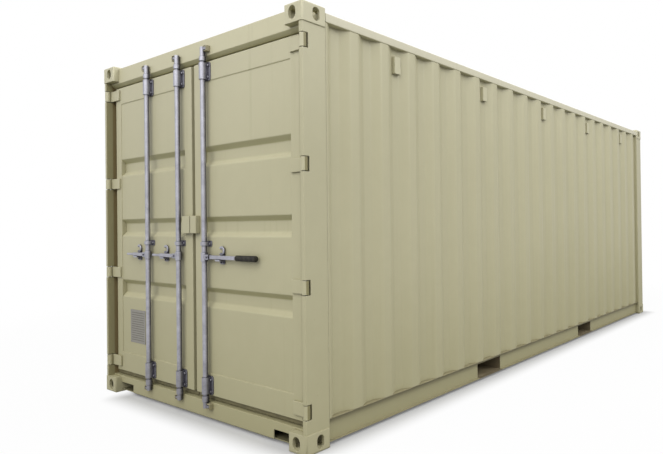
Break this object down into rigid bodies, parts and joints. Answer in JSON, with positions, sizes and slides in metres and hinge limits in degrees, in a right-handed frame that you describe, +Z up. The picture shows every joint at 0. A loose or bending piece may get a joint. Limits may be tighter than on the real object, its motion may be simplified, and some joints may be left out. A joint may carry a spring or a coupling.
{
  "type": "freight container",
  "caption": "Corrugated steel freight container with hinged end doors, upright lock bars with swing handles, corner castings, fork pockets and side vents.",
  "frame": {"origin": "middle of the underside, on the plane of the castings' feet", "axes": "+Z up, +Y from the door end to the blank end, +X to the right as seen facing the doors"},
  "size_m": [2.438, 6.058, 2.591],
  "materials": {
    "paint": "weathered satin khaki paint",
    "undercoat": "dark protective undercoat",
    "zinc": "dull hot-dip galvanised",
    "rubber": "matte black",
    "plywood": "worn plywood",
    "plate": "bare brushed, no lettering"
  },
  "bodies": {
    "frame": {"bottom_castings_left": "paint", "bottom_castings_right": "paint", "top_castings_left": "paint", "top_castings_right": "paint", "rear_post_left": "paint", "rear_post_right": "paint", "front_posts": "paint", "top_rails": "paint", "bottom_rails": "paint", "door_header": "paint", "door_sill": "paint", "front_header": "paint", "front_sill": "paint", "side_wall_left": "paint", "side_wall_right": "paint", "front_wall": "paint", "roof": "paint", "floor": "plywood", "cross_members": "undercoat", "fork_pockets": "undercoat", "vents": "paint", "hinge_pins": "zinc", "cam_keepers": "paint"},
    "left_door": {"left_door_frame": "paint", "left_door_panel": "paint", "left_door_seal": "rubber", "left_door_hinges": "paint", "left_bar_brackets": "zinc", "left_handle_catches": "zinc", "left_lock_plate": "paint", "data_plate": "plate"},
    "right_door": {"right_door_frame": "paint", "right_door_panel": "paint", "right_door_seal": "rubber", "right_door_hinges": "paint", "right_bar_brackets": "zinc", "right_handle_catches": "zinc", "right_lock_plate": "paint"},
    "left_outer_bar": {"left_outer_bar": "zinc"},
    "left_inner_bar": {"left_inner_bar": "zinc"},
    "right_bar": {"right_bar": "zinc"},
    "left_outer_handle": {"left_outer_handle": "zinc"},
    "left_inner_handle": {"left_inner_handle": "zinc"},
    "right_handle": {"right_handle": "zinc", "right_handle_grip": "rubber"}
  },
  "joints": [
    {"name": "left_door_swing", "type": "hinge", "parent": "frame", "child": "left_door", "pos_m": [-1.197, -3.007, 1.3], "axis": [0, 0, -1], "range_deg": [0, 260]},
    {"name": "right_door_swing", "type": "hinge", "parent": "frame", "child": "right_door", "pos_m": [1.197, -3.007, 1.3], "axis": [0, 0, 1], "range_deg": [0, 260]},
    {"name": "left_outer_bar_turn", "type": "hinge", "parent": "left_door", "child": "left_outer_bar", "pos_m": [-0.58, -3.005, 1.103], "axis": [0, 0, -1], "range_deg": [-110, 0]},
    {"name": "left_outer_handle_lift", "type": "hinge", "parent": "left_outer_bar", "child": "left_outer_handle", "pos_m": [-0.624, -3.005, 1.103], "axis": [0, 1, 0], "range_deg": [0, 40]},
    {"name": "left_inner_bar_turn", "type": "hinge", "parent": "left_door", "child": "left_inner_bar", "pos_m": [-0.152, -3.005, 1.103], "axis": [0, 0, -1], "range_deg": [-110, 0]},
    {"name": "left_inner_handle_lift", "type": "hinge", "parent": "left_inner_bar", "child": "left_inner_handle", "pos_m": [-0.196, -3.005, 1.103], "axis": [0, 1, 0], "range_deg": [0, 40]},
    {"name": "right_bar_turn", "type": "hinge", "parent": "right_door", "child": "right_bar", "pos_m": [0.172, -3.005, 1.103], "axis": [0, 0, 1], "range_deg": [-110, 0]},
    {"name": "right_handle_lift", "type": "hinge", "parent": "right_bar", "child": "right_handle", "pos_m": [0.216, -3.005, 1.103], "axis": [0, -1, 0], "range_deg": [0, 40]}
  ]
}
